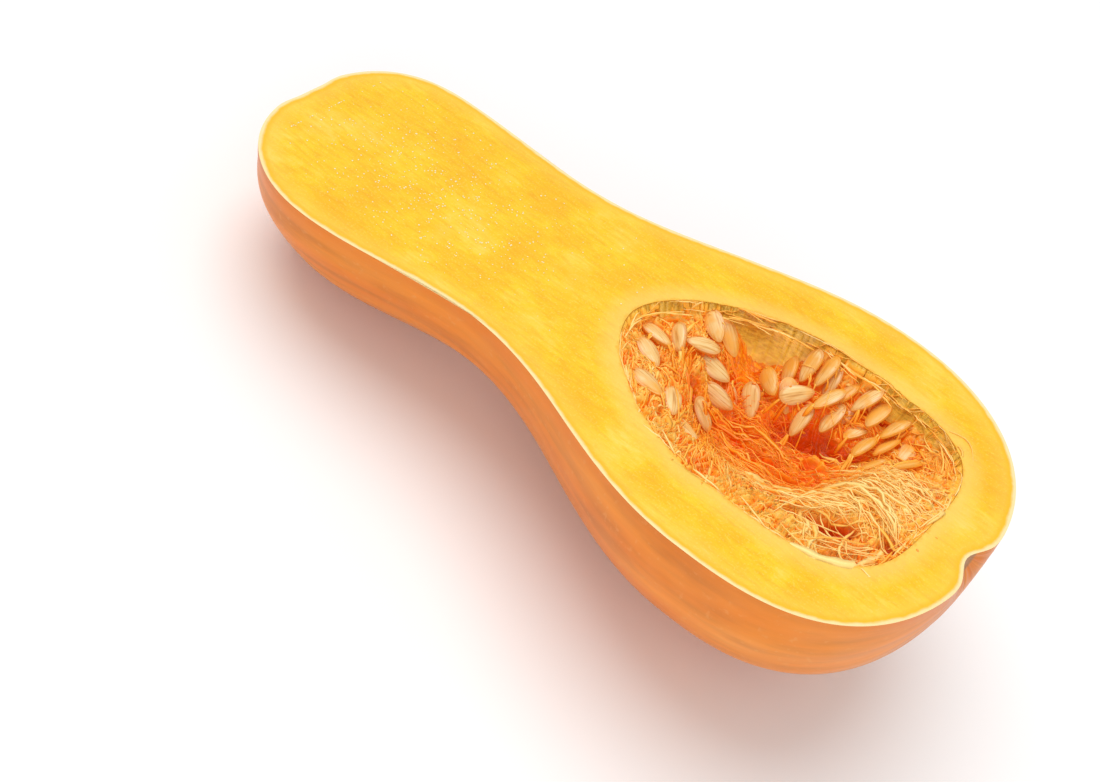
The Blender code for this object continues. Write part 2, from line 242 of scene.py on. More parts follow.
def torn_rim(share, side):
    """A point of the cavity's edge, which is torn and so wavers inwards by up to a millimetre."""
    place, radius = read_outline(cavity_outline, share)
    spot = Vector((place * 90, side * (1 + radius * 90), 2.0))
    ragged = 0.0009 * (0.5 + noise.noise(spot)) + 0.0007 * abs(noise.noise(spot * 5.1))
    ragged = max(0.0, ragged) * math.sin(math.pi * min(1.0, max(0.0, share))) ** 0.4
    return Vector((place, SWAY[3] + side * (radius - ragged), 0))


def lap(turn):
    """(share, side) at a share of the way round: along the far side, back along the near."""
    return (2 * turn, 1) if turn <= 0.5 else (2 - 2 * turn, -1)


def face_point(u, v):
    """A point of the cut face, u round it and v inwards, with most rows close to the rind."""
    share, side = lap(u)
    place, radius = read_outline(squash_outline, share)
    outer = Vector((place, sway_at(place) + side * radius, 0))
    return outer.lerp(torn_rim(share, side), 0.12 * v + 0.88 * v**3)


def wall_point(u, v):
    """A point of the cavity's wall, which meets the cut face in the torn rim."""
    if v < 0.001 or v > 0.999:
        return torn_rim(u, 1 if v < 0.5 else -1)
    place, radius = read_outline(cavity_outline, u)
    angle = math.pi * v
    return Vector((place, SWAY[3] + radius * math.cos(angle), -radius * math.sin(angle)))


def wire(tree, kind, inputs, **settings):
    """A new shader node: settings go on the node, and inputs on its sockets, as values or links."""
    made = tree.nodes.new("ShaderNode" + kind)
    for name, value in settings.items():
        setattr(made, name, value)
    for socket, value in inputs.items():
        if isinstance(value, bpy.types.NodeSocket):
            tree.links.new(value, made.inputs[socket])
        else:
            made.inputs[socket].default_value = value
    return made


def ramp(tree, factor, *stops):
    """A colour ramp through (place, colour) stops; a number as colour stands for a grey."""
    made = tree.nodes.new("ShaderNodeValToRGB")
    tree.links.new(factor, made.inputs[0])
    while len(made.color_ramp.elements) < len(stops):
        made.color_ramp.elements.new(0.5)
    for element, (place, colour) in zip(made.color_ramp.elements, stops):
        element.position = place
        colour = colour if isinstance(colour, tuple) else (colour,) * 3
        element.color = (*colour, 1)
    return made.outputs[0]


def mix(tree, factor, first, second, blend="MIX"):
    """A blend of two colours; factor, first and second are values or links."""
    made = tree.nodes.new("ShaderNodeMix")
    made.data_type = "RGBA"
    made.blend_type = blend
    for socket, value in ((0, factor), (6, first), (7, second)):
        if isinstance(value, bpy.types.NodeSocket):
            tree.links.new(value, made.inputs[socket])
        elif socket == 0:
            made.inputs[0].default_value = value
        else:
            made.inputs[socket].default_value = (*value, 1)
    return made.outputs[2]


def arithmetic(tree, operation, *values):
    """A Math node on two or three values or links."""
    return wire(tree, "Math", dict(enumerate(values)), operation=operation).outputs[0]


def attribute(tree, name):
    """What a mesh stores under a name, as a number."""
    return wire(tree, "Attribute", {}, attribute_name=name).outputs["Fac"]


def tinted(tree, colour, where, strength, tint):
    """A colour turned towards a tint, by a strength, where a value from 0 to 1 says so."""
    return mix(tree, arithmetic(tree, "MULTIPLY", where, strength), colour, tint)


def speckle(tree, spot, scale, detail, roughness=0.5):
    """A noise texture's value."""
    settings = {"Vector": spot, "Scale": scale, "Detail": detail, "Roughness": roughness}
    return wire(tree, "TexNoise", settings).outputs[0]


def raise_bumps(tree, shader, height, strength, distance):
    """Lets a height roughen a shader's surface."""
    bump = wire(tree, "Bump", {"Height": height, "Strength": strength, "Distance": distance})
    tree.links.new(bump.outputs[0], shader.inputs["Normal"])


def finish(name, **values):
    """A material, its tree and its Principled shader, with values on the shader's sockets."""
    made = bpy.data.materials.new(name)
    made.use_nodes = True
    shader = made.node_tree.nodes["Principled BSDF"]
    for socket, value in values.items():
        shader.inputs[socket.replace("_", " ")].default_value = value
    return made, made.node_tree, shader


def effect_group(name, inputs, outputs):
    """A shader node group with named sockets, and its input and output nodes."""
    group = bpy.data.node_groups.new(name, "ShaderNodeTree")
    for socket, kind in inputs:
        group.interface.new_socket(socket, in_out="INPUT", socket_type="NodeSocket" + kind)
    for socket, kind in outputs:
        group.interface.new_socket(socket, in_out="OUTPUT", socket_type="NodeSocket" + kind)
    return group, group.nodes.new("NodeGroupInput"), group.nodes.new("NodeGroupOutput")


def placed_group(tree, group, **inputs):
    """A group in a material's tree, with its own values or links."""
    made = tree.nodes.new("ShaderNodeGroup")
    made.node_tree = group
    for socket, value in inputs.items():
        target = made.inputs[socket.replace("_", " ")]
        if isinstance(value, bpy.types.NodeSocket):
            tree.links.new(value, target)
        else:
            target.default_value = value
    return made.outputs


# Streaks: fine lines that run along X of the squash's frame, as the fibres do.
streaks, group_in, group_out = effect_group(
    "streaks",
    (("Squash Frame", "Vector"), ("Fineness", "Float"), ("Stretch", "Float")),
    (("Streak", "Float"), ("Cloud", "Float")),
)
group_spot = group_in.outputs["Squash Frame"]
squeeze = wire(streaks, "CombineXYZ", {0: group_in.outputs["Stretch"], 1: 1.0, 2: 1.0}).outputs[0]
squeezed = wire(streaks, "VectorMath", {0: group_spot, 1: squeeze}, operation="MULTIPLY").outputs[0]
streak = speckle(streaks, squeezed, group_in.outputs["Fineness"], 4.0)
streaks.links.new(streak, group_out.inputs["Streak"])
streaks.links.new(speckle(streaks, group_spot, 36.0, 6.0, 0.62), group_out.inputs["Cloud"])


def squash_frame(tree):
    """Object coordinates turned back into the squash's own frame."""
    spot = wire(tree, "TexCoord", {}).outputs["Object"]
    tip = math.atan2(face_up.x, face_up.z)
    turned = wire(tree, "Mapping", {"Vector": spot, "Rotation": (0, -tip, 0)}, vector_type="POINT")
    return turned.outputs[0]


# The rind: waxy orange-tan skin, streaked along its length, corky at the stem scar.
rind_finish, tree, shader = finish(
    "rind", Coat_Weight=0.03, Coat_Roughness=0.3, Specular_IOR_Level=0.32
)
spot = wire(tree, "Attribute", {}, attribute_name="meridian").outputs["Vector"]
lines = placed_group(tree, streaks, Squash_Frame=spot, Fineness=150.0, Stretch=0.16)
broad = placed_group(tree, streaks, Squash_Frame=spot, Fineness=52.0, Stretch=0.22)
pores = ramp(tree, speckle(tree, spot, 420.0, 3.0), (0.60, 0.0), (0.70, 1.0))
colour = ramp(
    tree,
    broad["Streak"],
    (0.30, (0.68, 0.155, 0.003)),
    (0.46, (0.78, 0.205, 0.005)),
    (0.62, (0.82, 0.250, 0.012)),
    (0.78, (0.84, 0.320, 0.050)),
)
shade = ramp(tree, lines["Streak"], (0.35, 0.80), (0.52, 1.0), (0.68, 1.10))
colour = mix(tree, 1.0, colour, shade, "MULTIPLY")
blush = ramp(tree, broad["Cloud"], (0.40, 0.0), (0.68, 1.0))
colour = tinted(tree, colour, blush, 0.35, (0.78, 0.27, 0.055))
colour = tinted(tree, colour, pores, 0.22, (0.86, 0.42, 0.13))
near_rim = arithmetic(tree, "MULTIPLY", attribute(tree, "under_rind"), 0.1)
near_rim = ramp(tree, near_rim, (0.0, 1.0), (0.7, 0.0))
colour = tinted(tree, colour, near_rim, 0.45, (0.74, 0.18, 0.008))
scar = arithmetic(tree, "ADD", attribute(tree, "stem_scar"), 0.5)
scar = ramp(tree, scar, (0.0, 0.0), (0.8, 1.0))
cork_grain = speckle(tree, spot, 700.0, 4.0)
cork = ramp(
    tree,
    cork_grain,
    (0.35, (0.10, 0.055, 0.02)),
    (0.55, (0.36, 0.26, 0.12)),
    (0.7, (0.55, 0.46, 0.28)),
)
colour = mix(tree, scar, colour, cork)
button = ramp(tree, attribute(tree, "blossom_button"), (0.0, 0.0), (1.0, 1.0))
colour = mix(tree, button, colour, (0.42, 0.17, 0.045))
tree.links.new(colour, shader.inputs["Base Color"])
rough = mix(tree, scar, (0.36,) * 3, (0.9,) * 3)
tree.links.new(rough, shader.inputs["Roughness"])
grain = arithmetic(tree, "ADD", lines["Streak"], arithmetic(tree, "MULTIPLY", cork_grain, scar))
raise_bumps(tree, shader, grain, 0.16, 0.0008)

# The cut flesh: sunny yellow, cloudy and finely streaked, with a thin cream line where it
# turns into rind and a pale fibrous band round the cavity.
flesh_finish, tree, shader = finish(
    "cut_flesh",
    Roughness=0.42,
    Coat_Weight=0.06,
    Coat_Roughness=0.25,
    Specular_IOR_Level=0.3,
    Subsurface_Weight=0.1,
    Subsurface_Radius=(1, 0.55, 0.12),
    Subsurface_Scale=0.004,
)
spot = squash_frame(tree)
fibres = placed_group(tree, streaks, Squash_Frame=spot, Fineness=620.0, Stretch=0.22)
patches = placed_group(tree, streaks, Squash_Frame=spot, Fineness=95.0, Stretch=0.6)
colour = ramp(
    tree,
    patches["Cloud"],
    (0.36, (0.94, 0.49, 0.001)),
    (0.46, (0.94, 0.55, 0.002)),
    (0.54, (0.95, 0.61, 0.006)),
    (0.66, (0.955, 0.67, 0.060)),
)
flecks = ramp(
    tree,
    fibres["Streak"],
    (0.34, (0.97, 0.84, 0.55)),
    (0.5, 1.0),
    (0.66, (1.0, 1.07, 2.3)),
)
colour = mix(tree, 0.75, colour, flecks, "MULTIPLY")
blots = ramp(tree, patches["Streak"], (0.42, 0.0), (0.66, 1.0))
colour = tinted(tree, colour, blots, 0.5, (0.95, 0.50, 0.002))
grit = ramp(tree, speckle(tree, spot, 1300.0, 2.0), (0.56, 0.0), (0.66, 1.0))
colour = tinted(tree, colour, grit, 0.3, (0.97, 0.74, 0.16))
waver = arithmetic(tree, "MULTIPLY_ADD", speckle(tree, spot, 240.0, 2.0), 1.2, -0.6)
under = arithmetic(tree, "ADD", attribute(tree, "under_rind"), waver)
edge = arithmetic(tree, "MULTIPLY", under, 0.1)
outer = ramp(tree, edge, (0.35, 1.0), (1.0, 0.0))
colour = tinted(tree, colour, outer, 0.35, (0.96, 0.64, 0.10))
zest = ramp(tree, edge, (0.0, 1.0), (0.20, 1.0), (0.34, 0.0))
colour = tinted(tree, colour, zest, 0.8, (0.96, 0.52, 0.006))
cream = ramp(tree, edge, (0.0, 1.0), (0.07, 1.0), (0.16, 0.0))
colour = mix(tree, cream, colour, (0.97, 0.78, 0.38))
ragged = speckle(tree, spot, 330.0, 5.0, 0.7)
waver = arithmetic(tree, "MULTIPLY_ADD", ragged, 5.0, -2.5)
off = arithmetic(tree, "ADD", attribute(tree, "off_cavity"), waver)
off = arithmetic(tree, "MULTIPLY", off, 0.1)
pale = ramp(tree, off, (0.0, 1.0), (0.25, 0.9), (0.90, 0.0))
colour = tinted(tree, colour, pale, 0.6, (0.965, 0.65, 0.15))
fringe = ramp(tree, off, (0.0, 1.0), (0.10, 0.0))
colour = tinted(tree, colour, fringe, 0.7, (0.96, 0.46, 0.03))
tree.links.new(colour, shader.inputs["Base Color"])
grain = arithmetic(tree, "MULTIPLY_ADD", ragged, 0.5, fibres["Streak"])
raise_bumps(tree, shader, grain, 0.28, 0.0006)

rind = shaped_grid("rind_and_flesh", RIND_STEPS, RIND_SIDES, rind_point)
cut_face = shaped_grid("cut_face", 2 * RIND_STEPS, FACE_ROWS, face_point)
wall = shaped_grid("cavity_wall", RIND_STEPS, WALL_SIDES, wall_point)
for grid, made_of in ((rind, 0), (cut_face, 1), (wall, 1)):
    grid.data.materials.append(rind_finish)
    grid.data.materials.append(flesh_finish)
    for polygon in grid.data.polygons:
        polygon.material_index = made_of
bpy.ops.object.select_all(action="DESELECT")
for grid in (wall, cut_face, rind):
    grid.select_set(True)
bpy.context.view_layer.objects.active = rind
bpy.ops.object.join()
flesh = bpy.context.object
mend(0.00001)


def set_attribute(obj, name, values):
    """Stores one number for each point of a mesh, for its material to read."""
    layer = obj.data.attributes.new(name, "FLOAT", "POINT")
    layer.data.foreach_set("value", np.array(values, np.float32))


def search_tree(spots):
    """A tree that finds the nearest of some spots."""
    tree = KDTree(len(spots))
    for number, spot in enumerate(spots):
        tree.insert(spot, number)
    tree.balance()
    return tree


# Points close together along both edges of the cut face, and along the outline
FINE_STEPS = 2000
outline_tree = search_tree([(*point, 0) for point in even_steps(squash_outline, FINE_STEPS)])
rind_edge = search_tree(
    [
        (place, sway_at(place) + side * radius, 0)
        for place, radius in even_steps(squash_outline, 2 * FINE_STEPS)
        for side in (1, -1)
    ]
)
cavity_edge = search_tree(
    [torn_rim(step / FINE_STEPS, side) for step in range(FINE_STEPS + 1) for side in (1, -1)]
)
set_attribute(flesh, "under_rind", [rind_edge.find(v.co)[2] * 1000 for v in flesh.data.vertices])
set_attribute(flesh, "off_cavity", [cavity_edge.find(v.co)[2] * 1000 for v in flesh.data.vertices])
# The stem's scar is a five-pointed star and the blossom's a round button; both are held as
# millimetres inwards from their own edge
STAR_RADIUS = 0.0098
STAR_WAVE = 0.0022
BUTTON_RADIUS = 0.0048
scar_values = []
button_values = []
for vertex in flesh.data.vertices:
    around = math.atan2(vertex.co.z, vertex.co.y - SWAY[0])
    reach = math.hypot(vertex.co.z, vertex.co.y - SWAY[0])
    star = STAR_RADIUS + STAR_WAVE * math.cos(5 * around + 0.6)
    scar_values.append((star - reach) * 1000 if vertex.co.x < 0.012 else -20)
    reach = math.hypot(vertex.co.z, vertex.co.y - SWAY[4])
    button_values.append((BUTTON_RADIUS - reach) * 1000 if vertex.co.x > 0.262 else -20)
set_attribute(flesh, "stem_scar", scar_values)
set_attribute(flesh, "blossom_button", button_values)
# How far each point is along the skin, and which way round, so that streaks meet at the ends
outline_run = np.hypot(*np.diff(squash_outline, axis=0).T).sum()
meridians = []
for vertex in flesh.data.vertices:
    offset = vertex.co.y - sway_at(vertex.co.x)
    reach = math.hypot(offset, vertex.co.z)
    number = outline_tree.find((vertex.co.x, reach, 0))[1]
    way = Vector((offset, vertex.co.z)) / max(reach, 0.0001) * 0.055
    meridians += [outline_run * number / FINE_STEPS, way.x, way.y]
layer = flesh.data.attributes.new("meridian", "FLOAT_VECTOR", "POINT")
layer.data.foreach_set("vector", np.array(meridians, np.float32))
flesh.data.transform(laid_down)
bpy.ops.object.shade_smooth_by_angle(angle=math.radians(50))
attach(flesh, "root")
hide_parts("flesh")

# ---------------------------------------------------------------------------------------
# The bed of pulp. Soft orange tissue that lines the cavity, torn open in the middle when
# the seeds were pulled apart: deep pits, a smooth bare wall and a fibrous rim.
BED_AROUND = 640
BED_ROWS = 150
BED_MIDDLE = Vector((0.203, 0.008, 0))
# Each pit, in millimetres and degrees: place along, across, half length, half width,
# heading, depth and how red and dark it is painted, partly the pulp's own colour, partly painted
# shade
PITS = (
    (246, -19, 12, 11, 10, 7.5, 0.5), (230, -17, 8, 3.2, 24, 6.5, 1.1),
    (240, -11, 5.5, 2.4, 30, 5.5, 1.1), (249, -22, 3, 2.2, 60, 4.0, 1.1),
    (257, -7, 6, 3.6, -20, 5.0, 0.9), (259, -15, 2.2, 1.8, 0, 4.0, 1.4),
    (193, -26, 9, 5, -20, 5.0, 0.65), (157, 1, 4.5, 2.6, 30, 4.0, 1.1),
    (163, 11, 3, 3, 60, 3.0, 1.0), (172, 8, 7, 2.4, -30, 5.0, 1.0),
    (181, 5, 4, 2.2, -40, 4.0, 0.9), (214, 11, 6, 1.6, 12, 3.5, 1.1),
    (203, 24, 9, 5, 10, 3.5, 1.0), (214, 27, 8, 4, 5, 4.5, 1.6), (224, 28, 5.5, 3, 20, 4.5, 1.6),
    (222, 46, 7, 3.2, 30, 3.5, 1.1), (190, 49, 5, 4, 60, 1.5, 0.8),
    (246, 46, 4, 1.8, 0, 2.5, 1.0), (236, 34, 3, 1.6, 0, 2.5, 1.0),
    (251, 24, 6, 1.2, 35, 1.6, 0.9), (253, 20, 5, 1.0, 30, 1.6, 0.9),
    (221, -25, 3, 1.5, 20, 2.5, 1.0),
)

seed_nodes = sorted(name for name in frame["nodes"] if name.startswith("seed_"))
corners = []
faces = []
face_nodes = []
for name in ("pulp", "flesh", *seed_nodes):
    mesh = frame["nodes"][name].data
    first = len(corners)
    corners += [lift_up @ vertex.co for vertex in mesh.vertices]
    faces += [[first + index for index in polygon.vertices] for polygon in mesh.polygons]
    face_nodes += [name] * len(mesh.polygons)
solid_tree = BVHTree.FromPolygons(corners, faces)
DOWN = Vector((0, 0, -1))


def cavity_rim(turn):
    """A point just inside the cavity's rim, at a share of the way round it."""
    rim = torn_rim(*lap(turn))
    return rim + (BED_MIDDLE - rim).normalized() * 0.0001


def bed_point(u, v):
    """A point of the bed seen from above, u round it and v inwards."""
    return cavity_rim(u).lerp(BED_MIDDLE, v**0.85)


bed = shaped_grid("pulp_bed", BED_AROUND, BED_ROWS, bed_point)
mend(0.000005, outwards=False)

bed_mesh = bed.data
count = len(bed_mesh.vertices)
flat = np.empty(count * 3)
bed_mesh.vertices.foreach_get("co", flat)
flat = flat.reshape(-1, 3)
heights = np.full(count, np.nan)
for index, (x, y, _z) in enumerate(flat):
    spot, _normal, face, _distance = solid_tree.ray_cast(Vector((x, y, 0.01)), DOWN)
    if face is not None and face_nodes[face] == "pulp":
        heights[index] = spot.z
    elif face is not None and face_nodes[face] == "flesh":
        heights[index] = spot.z + 0.0004
# Where a seed hides the pulp, its height is filled in from round the seed.
edges = np.empty(len(bed_mesh.edges) * 2, int)
bed_mesh.edges.foreach_get("vertices", edges)
edges = edges.reshape(-1, 2)
known = ~np.isnan(heights)
filled = np.where(known, heights, -0.004)
neighbours = np.bincount(edges.ravel(), minlength=count)


def round_about(values):
    """The mean of the values at each point's neighbours."""
    total = np.bincount(edges[:, 0], values[edges[:, 1]], count)
    total += np.bincount(edges[:, 1], values[edges[:, 0]], count)
    return total / neighbours


for _sweep in range(240):
    filled = np.where(known, filled, round_about(filled))
for _sweep in range(20):
    filled = 0.5 * (filled + round_about(filled))
# The seeds sit in shallow beds of their own, with smoother pulp round them; the same mask paints a
# shadow round each seed on the bed.
nestled = (~known).astype(float)
for _sweep in range(5):
    nestled = 0.5 * (nestled + round_about(nestled))
rim_distance = np.array([cavity_edge.find((x, y, 0))[2] for x, y, _z in flat])
height = filled + 0.0016 * np.exp(-((rim_distance / 0.0040) ** 2))


def off_pit(x, y, along, across, half_length, half_width, heading):
    """How far places in millimetres lie from a pit's middle: 1 on its edge, and squared."""
    turn = math.radians(heading)
    one = (x - along) * math.cos(turn) + (y - across) * math.sin(turn)
    two = (y - across) * math.cos(turn) - (x - along) * math.sin(turn)
    return (one / half_length) ** 2 + (two / half_width) ** 2


redness = np.zeros(count)
pit_depth = np.zeros(count)
for *outline, depth, red in PITS:
    near = np.exp(-(off_pit(*(flat[:, :2].T * 1000), *outline) ** 1.4))
    pit_depth += depth / 1000 * near
    redness += red * near
height -= pit_depth + 0.0013 * nestled

# Ridges and lumps follow the way that the fibres run in each part of the cavity.
FLOWS = (  # place along, across, in millimetres, heading in degrees, reach
    (155, 15, 60, 14), (165, -10, -60, 14), (185, -15, -65, 16), (195, -28, -75, 12),
    (190, 15, 8, 18), (205, 15, 5, 18), (225, 5, 8, 16), (240, 12, 2, 14), (255, 15, -5, 14),
    (235, -20, 30, 12), (250, -15, -20, 12), (180, 40, 20, 16), (200, 50, 10, 16),
    (225, 45, 20, 16), (245, 40, -10, 16), (215, -25, 10, 12),
)


def wave(x, y, layer):
    """Smooth noise from -1 to 1 at a place, different on each layer."""
    return noise.noise(Vector((x, y, layer)))


def flow_at(x, y):
    """Heading of the pulp's fibres, as a unit (x, y), at a place in metres."""
    push = [0.0, 0.0]
    for along, across, heading, reach in FLOWS:
        distance = ((x * 1000 - along) ** 2 + (y * 1000 - across) ** 2) / reach**2
        weight = math.exp(-distance)
        push[0] += weight * math.cos(2 * math.radians(heading))
        push[1] += weight * math.sin(2 * math.radians(heading))
    turn = math.atan2(push[1], push[0]) / 2
    return math.cos(turn), math.sin(turn)


def bare_at(x, y):
    """How bare the cavity's far wall is, from 0 to 1: smooth, with no strings on it."""
    return np.exp(-((((x - 0.178) / 0.016) ** 2 + ((y - 0.043) / 0.012) ** 2) ** 2))


bare_wall = bare_at(flat[:, 0], flat[:, 1])
texture = np.zeros(count)
for index, (x, y, _z) in enumerate(flat):
    run = flow_at(x, y)
    warp = 1.1 * wave(x * 170, y * 170, 21.0)
    along = (x * run[0] + y * run[1]) * 75
    across = (y * run[0] - x * run[1]) * 560 + warp * 1.6
    ridge = 1 - abs(wave(along, across, 3.0 + warp))
    strand = 1 - abs(wave(along * 2.3, across * 2.4, 9.0))
    hair = 1 - abs(wave(along * 3.5, across * 5.2, 15.0))
    lump = noise.fractal(Vector((x * 190, y * 190, 5.0)), 0.9, 2.0, 4)
    texture[index] = 0.0032 * (ridge**2 - 0.6) + 0.0014 * (strand**2 - 0.6)
    texture[index] += 0.0005 * (hair - 0.7) + 0.0006 * lump
texture *= (1 - 0.75 * bare_wall) * (1 - 0.6 * nestled)
texture *= np.clip(rim_distance / 0.0022, 0.12, 1)
height = np.minimum(height + texture, -0.0004)
held = np.exp(-((rim_distance / 0.0009) ** 2))
height = height * (1 - held) - 0.00025 * held
flat[:, 2] = height
bed_mesh.vertices.foreach_set("co", flat.ravel())
bed_mesh.update()
# Each mat of pale fibres, in metres: place along, across, and reach along, across
MATS = ((0.243, 0.008, 0.022, 0.020), (0.238, -0.022, 0.020, 0.012))
matted = sum(
    np.exp(-(((flat[:, 0] - along) / long) ** 2) - ((flat[:, 1] - across) / wide) ** 2)
    for along, across, long, wide in MATS
)
for name, values in (
    ("redness", redness),
    ("depth", -height * 1000),
    ("crest", texture * 1000),
    ("rim", rim_distance * 1000),
    ("bare_wall", bare_wall),
    ("nestled", nestled),
    ("matted", matted),
):
    set_attribute(bed, name, values)
bed_tree = BVHTree.FromPolygons(
    [vertex.co.copy() for vertex in bed_mesh.vertices],
    [list(polygon.vertices) for polygon in bed_mesh.polygons],
)


def bed_height(x, y):
    """Height of the bed at a place, or a little under the cut face outside it."""
    hit = bed_tree.ray_cast(Vector((x, y, 0.01)), DOWN)[0]
    return hit.z if hit is not None else -0.0006


# The underside follows the cavity's wall and closes the bed to a solid.
UNDER_RINGS = 6
shape = bmesh.new()
shape.from_mesh(bed_mesh)
border = [edge for edge in shape.edges if edge.is_boundary]
for ring in range(1, UNDER_RINGS + 1):
    grown = bmesh.ops.extrude_edge_only(shape, edges=border)["geom"]
    border = [item for item in grown if isinstance(item, bmesh.types.BMEdge)]
    lower = [item for item in grown if isinstance(item, bmesh.types.BMVert)]
    for vertex in lower:
        x, y, _z = vertex.co.lerp(BED_MIDDLE, 1 / (UNDER_RINGS + 1 - ring) * 0.999)
        across = np.interp(x, cavity_outline[:, 0], cavity_outline[:, 1])
        wall_depth = math.sqrt(max(0.0, across**2 - (y - SWAY[3]) ** 2))
        vertex.co = (x, y, min(-wall_depth, bed_height(x, y) - 0.001))
bmesh.ops.pointmerge(shape, verts=lower, merge_co=lower[0].co)
shape.to_mesh(bed_mesh)
shape.free()
mend(None)
bed_mesh.transform(laid_down)
bpy.ops.object.shade_smooth()

bed_finish, tree, shader = finish(
    "pulp_bed",
    Roughness=0.34,
    Coat_Weight=0.08,
    Coat_Roughness=0.2,
    Specular_IOR_Level=0.3,
    Emission_Strength=0.16,
)
spot = squash_frame(tree)
fibres = placed_group(tree, streaks, Squash_Frame=spot, Fineness=900.0, Stretch=0.25)
depth = attribute(tree, "depth")
# Deeper down the pulp is painted darker and redder: partly its own deeper colour, partly painted
# shade in the hollow.
deep = arithmetic(tree, "MULTIPLY_ADD", fibres["Cloud"], 5.0, depth)
colour = ramp(
    tree,
    arithmetic(tree, "MULTIPLY_ADD", deep, 0.034, -0.08),
    (0.02, (0.97, 0.45, 0.022)),
    (0.18, (0.96, 0.34, 0.008)),
    (0.45, (0.94, 0.24, 0.004)),
    (0.80, (0.90, 0.15, 0.002)),
)
crest = arithmetic(tree, "MULTIPLY_ADD", attribute(tree, "crest"), 0.34, 0.42)
# Painted shade: the troughs between the ridges are darkened towards deep red.
painted_trough_shade = ramp(tree, crest, (0.0, 1.0), (0.40, 0.0))
colour = tinted(tree, colour, painted_trough_shade, 0.8, (0.85, 0.11, 0.002))
# The crests are painted paler, partly the paler strings on them and partly painted highlight; deep
# down they stay orange, as painted shade.
crest = ramp(tree, crest, (0.45, 0.0), (0.80, 1.0))
lit = ramp(
    tree,
    arithmetic(tree, "MULTIPLY", depth, 0.04),
    (0.25, (0.98, 0.60, 0.110)),
    (0.60, (0.96, 0.38, 0.015)),
)
colour = tinted(tree, colour, crest, 0.85, lit)
colour = tinted(tree, colour, attribute(tree, "matted"), 0.5, (0.98, 0.62, 0.115))
grain = fibres["Streak"]
bare = ramp(tree, grain, (0.40, (0.93, 0.24, 0.002)), (0.62, (0.97, 0.46, 0.018)))
colour = tinted(tree, colour, attribute(tree, "bare_wall"), 0.9, bare)
# Painted shadow: the pulp round each seed is darkened to deep red.
colour = tinted(tree, colour, attribute(tree, "nestled"), 0.6, (0.88, 0.17, 0.003))
# The pits are painted dark red: partly the pulp's deeper colour, partly painted shade in the pits.
red = ramp(tree, attribute(tree, "redness"), (0.35, 0.0), (1.1, 1.0))
colour = tinted(tree, colour, red, 0.95, (0.68, 0.070, 0.001))
pale = arithmetic(tree, "MULTIPLY", attribute(tree, "rim"), 0.1)
pale = ramp(tree, pale, (0.02, 1.0), (0.36, 0.0))
colour = tinted(tree, colour, pale, 0.75, (0.98, 0.58, 0.07))
shade = ramp(tree, grain, (0.35, 0.84), (0.6, 1.06))
colour = mix(tree, 1.0, colour, shade, "MULTIPLY")
tree.links.new(colour, shader.inputs["Base Color"])
# Painted glow: the pulp gives off a faint orange light of its own (Emission_Strength above),
# standing in for light that passes through the wet tissue.
glow = mix(tree, 1.0, colour, (1.0, 0.55, 0.3), "MULTIPLY")
tree.links.new(glow, shader.inputs["Emission Color"])
raise_bumps(tree, shader, grain, 0.35, 0.0008)
bed_mesh.materials.append(bed_finish)
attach(bed, "root")
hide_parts("pulp")

# ---------------------------------------------------------------------------------------
# The seeds. Flat cream teardrops with a raised margin, plump in the middle and finely
# grained, each where the frame holds one; a film of pulp still clings to many of them.
SEED_AROUND = 32
SEED_RINGS = 16
RIM_SHARE = 0.30
PLUMP = 0.985  # of the frame's seed, so that the grain stays within it
seed_frames = []


def seed_point(u, v):
    """A point of a seed of half sizes 1: a raised margin, a groove within it, a plump middle."""
    height_share = 2 * v - 1
    rise = abs(height_share)
    if rise < RIM_SHARE:
        spread = 1.0
        thick = 0.24 * math.sin(rise / RIM_SHARE * math.pi / 2)
    else:
        spread = math.cos((rise - RIM_SHARE) / (1 - RIM_SHARE) * math.pi / 2)
        groove = 0.16 * math.exp(-(((spread - 0.88) / 0.05) ** 2))
        thick = 0.24 + 0.76 * (1 - spread**2.2) ** 0.75 - groove
    around = 2 * math.pi * u
    thick = math.copysign(thick, height_share)
    return Vector((math.cos(around) * spread, math.sin(around) * spread, thick))


master_seed = shaped_grid("master_seed", SEED_AROUND, SEED_RINGS * 2, seed_point)
mend(0.001)
bpy.ops.object.shade_smooth()

seed_finish, tree, shader = finish(
    "seed_shell", Roughness=0.34, Coat_Weight=0.25, Coat_Roughness=0.2
)
tint = attribute(tree, "tint")
across = attribute(tree, "crosswise")
along = arithmetic(tree, "MULTIPLY", attribute(tree, "lengthwise"), 0.16)
spot = wire(tree, "CombineXYZ", {0: along, 1: across, 2: tint}).outputs[0]
grain = speckle(tree, spot, 5.0, 3.0)
colour = ramp(
    tree,
    grain,
    (0.34, (0.66, 0.29, 0.06)),
    (0.44, (0.92, 0.54, 0.17)),
    (0.60, (0.98, 0.69, 0.29)),
)
warm = mix(tree, tint, colour, (0.90, 0.48, 0.12))
colour = mix(tree, 0.45, colour, warm)
margin = ramp(tree, arithmetic(tree, "ABSOLUTE", across), (0.70, 0.0), (0.86, 1.0))
colour = tinted(tree, colour, margin, 0.45, (0.99, 0.82, 0.55))
# Painted shade: the lower side of each seed is darkened towards brownish orange.
painted_underside_shade = ramp(tree, attribute(tree, "rise"), (0.0, 1.0), (0.30, 0.75), (0.62, 0.0))
colour = mix(tree, painted_underside_shade, colour, (0.80, 0.30, 0.035))
spot = wire(tree, "TexCoord", {}).outputs["Object"]
film = speckle(tree, spot, 150.0, 2.0)
film = arithmetic(tree, "MULTIPLY_ADD", attribute(tree, "coated"), 0.55, film)
film = ramp(tree, film, (0.72, 0.0), (0.90, 1.0))
colour = tinted(tree, colour, film, 0.8, (0.96, 0.42, 0.03))
tree.links.new(colour, shader.inputs["Base Color"])
raise_bumps(tree, shader, grain, 0.25, 0.0004)

